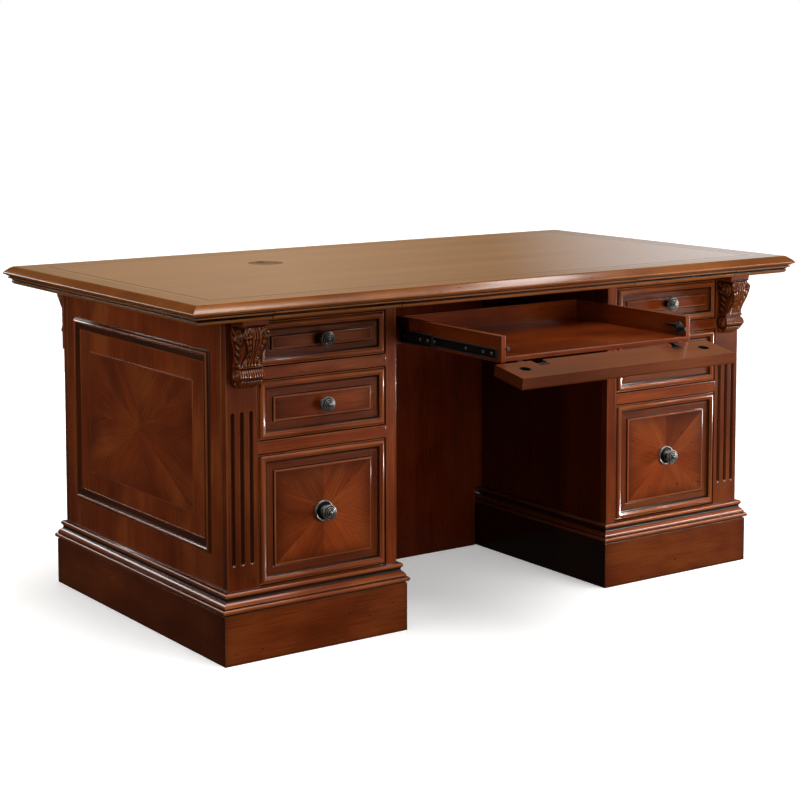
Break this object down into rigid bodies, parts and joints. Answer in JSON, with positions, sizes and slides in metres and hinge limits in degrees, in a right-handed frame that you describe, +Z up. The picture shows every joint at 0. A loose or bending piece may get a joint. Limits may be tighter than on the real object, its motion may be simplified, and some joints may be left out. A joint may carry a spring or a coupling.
{
  "type": "pedestal desk",
  "caption": "Executive pedestal desk with a moulded top, drawer pedestals, corbels, writing slides, a modesty panel and a keyboard tray with a drop front.",
  "frame": {"origin": "floor level, under the centre of the box of the desk with its tray out and the front dropped", "axes": "+X to the right of a person facing the desk's front, the front faces -Y, +Z up"},
  "size_m": [1.687, 1.2708, 0.762],
  "materials": {
    "top_wood": "semi-gloss lacquer",
    "case_wood": "semi-gloss lacquer",
    "box_wood": "matt",
    "knob_bronze": "antique bronze",
    "black_steel": "satin black"
  },
  "bodies": {
    "carcass": {"top_panel": "top_wood", "cable_disc": "top_wood", "top_edging": "top_wood", "under_top_front": "top_wood", "under_top_rear": "top_wood", "modesty_panel": "case_wood", "slide_outer": "black_steel", "slide_spacers": "case_wood", "under_top_end_left": "top_wood", "under_top_end_right": "top_wood", "side_panel_left": "case_wood", "side_panel_right": "case_wood", "inner_panel_left": "case_wood", "inner_panel_right": "case_wood", "back_panel_left": "case_wood", "back_panel_right": "case_wood", "stile_left": "case_wood", "stile_right": "case_wood", "pilasters_left": "case_wood", "pilasters_right": "case_wood", "rails_left": "case_wood", "rails_right": "case_wood", "dust_boards_left": "box_wood", "dust_boards_right": "box_wood", "side_frame_left": "case_wood", "side_frame_right": "case_wood", "plinth_left": "case_wood", "plinth_right": "case_wood", "base_moulding_left": "case_wood", "base_moulding_right": "case_wood", "corbels_left": "case_wood", "corbels_right": "case_wood"},
    "top_drawer_left": {"top_drawer_front_left": "case_wood", "top_drawer_box_left": "box_wood", "top_drawer_knob_left": "knob_bronze"},
    "middle_drawer_left": {"middle_drawer_front_left": "case_wood", "middle_drawer_box_left": "box_wood", "middle_drawer_knob_left": "knob_bronze"},
    "file_drawer_left": {"file_drawer_front_left": "case_wood", "file_drawer_box_left": "box_wood", "file_drawer_knob_left": "knob_bronze"},
    "writing_slide_left": {"writing_slide_left": "top_wood"},
    "top_drawer_right": {"top_drawer_front_right": "case_wood", "top_drawer_box_right": "box_wood", "top_drawer_knob_right": "knob_bronze"},
    "middle_drawer_right": {"middle_drawer_front_right": "case_wood", "middle_drawer_box_right": "box_wood", "middle_drawer_knob_right": "knob_bronze"},
    "file_drawer_right": {"file_drawer_front_right": "case_wood", "file_drawer_box_right": "box_wood", "file_drawer_knob_right": "knob_bronze"},
    "writing_slide_right": {"writing_slide_right": "top_wood"},
    "tray": {"tray_box": "case_wood", "tray_fittings": "black_steel", "slide_inner": "black_steel"},
    "drop_front": {"flap": "case_wood", "flap_fittings": "black_steel"},
    "middle_members": {"slide_middle": "black_steel"}
  },
  "joints": [
    {"name": "top_drawer_left_slide", "type": "slide", "parent": "carcass", "child": "top_drawer_left", "axis": [0, -1, 0], "range_m": [0, 0.4]},
    {"name": "middle_drawer_left_slide", "type": "slide", "parent": "carcass", "child": "middle_drawer_left", "axis": [0, -1, 0], "range_m": [0, 0.4]},
    {"name": "file_drawer_left_slide", "type": "slide", "parent": "carcass", "child": "file_drawer_left", "axis": [0, -1, 0], "range_m": [0, 0.4]},
    {"name": "writing_slide_left_pull", "type": "slide", "parent": "carcass", "child": "writing_slide_left", "axis": [0, -1, 0], "range_m": [0, 0.3]},
    {"name": "top_drawer_right_slide", "type": "slide", "parent": "carcass", "child": "top_drawer_right", "axis": [0, -1, 0], "range_m": [0, 0.4]},
    {"name": "middle_drawer_right_slide", "type": "slide", "parent": "carcass", "child": "middle_drawer_right", "axis": [0, -1, 0], "range_m": [0, 0.4]},
    {"name": "file_drawer_right_slide", "type": "slide", "parent": "carcass", "child": "file_drawer_right", "axis": [0, -1, 0], "range_m": [0, 0.4]},
    {"name": "writing_slide_right_pull", "type": "slide", "parent": "carcass", "child": "writing_slide_right", "axis": [0, -1, 0], "range_m": [0, 0.3]},
    {"name": "tray_slide", "type": "slide", "parent": "carcass", "child": "tray", "axis": [0, -1, 0], "range_m": [-0.34, 0]},
    {"name": "middle_members_slide", "type": "slide", "parent": "carcass", "child": "middle_members", "axis": [0, -1, 0], "range_m": [-0.115, 0]},
    {"name": "flap_hinge", "type": "hinge", "parent": "tray", "child": "drop_front", "pos_m": [0, -0.54215, 0.6155], "axis": [-1, 0, 0], "range_deg": [0, 100]}
  ],
  "couplings": [
    {"joint": "middle_members_slide", "follows": "tray_slide", "ratio": 0.33824}
  ]
}
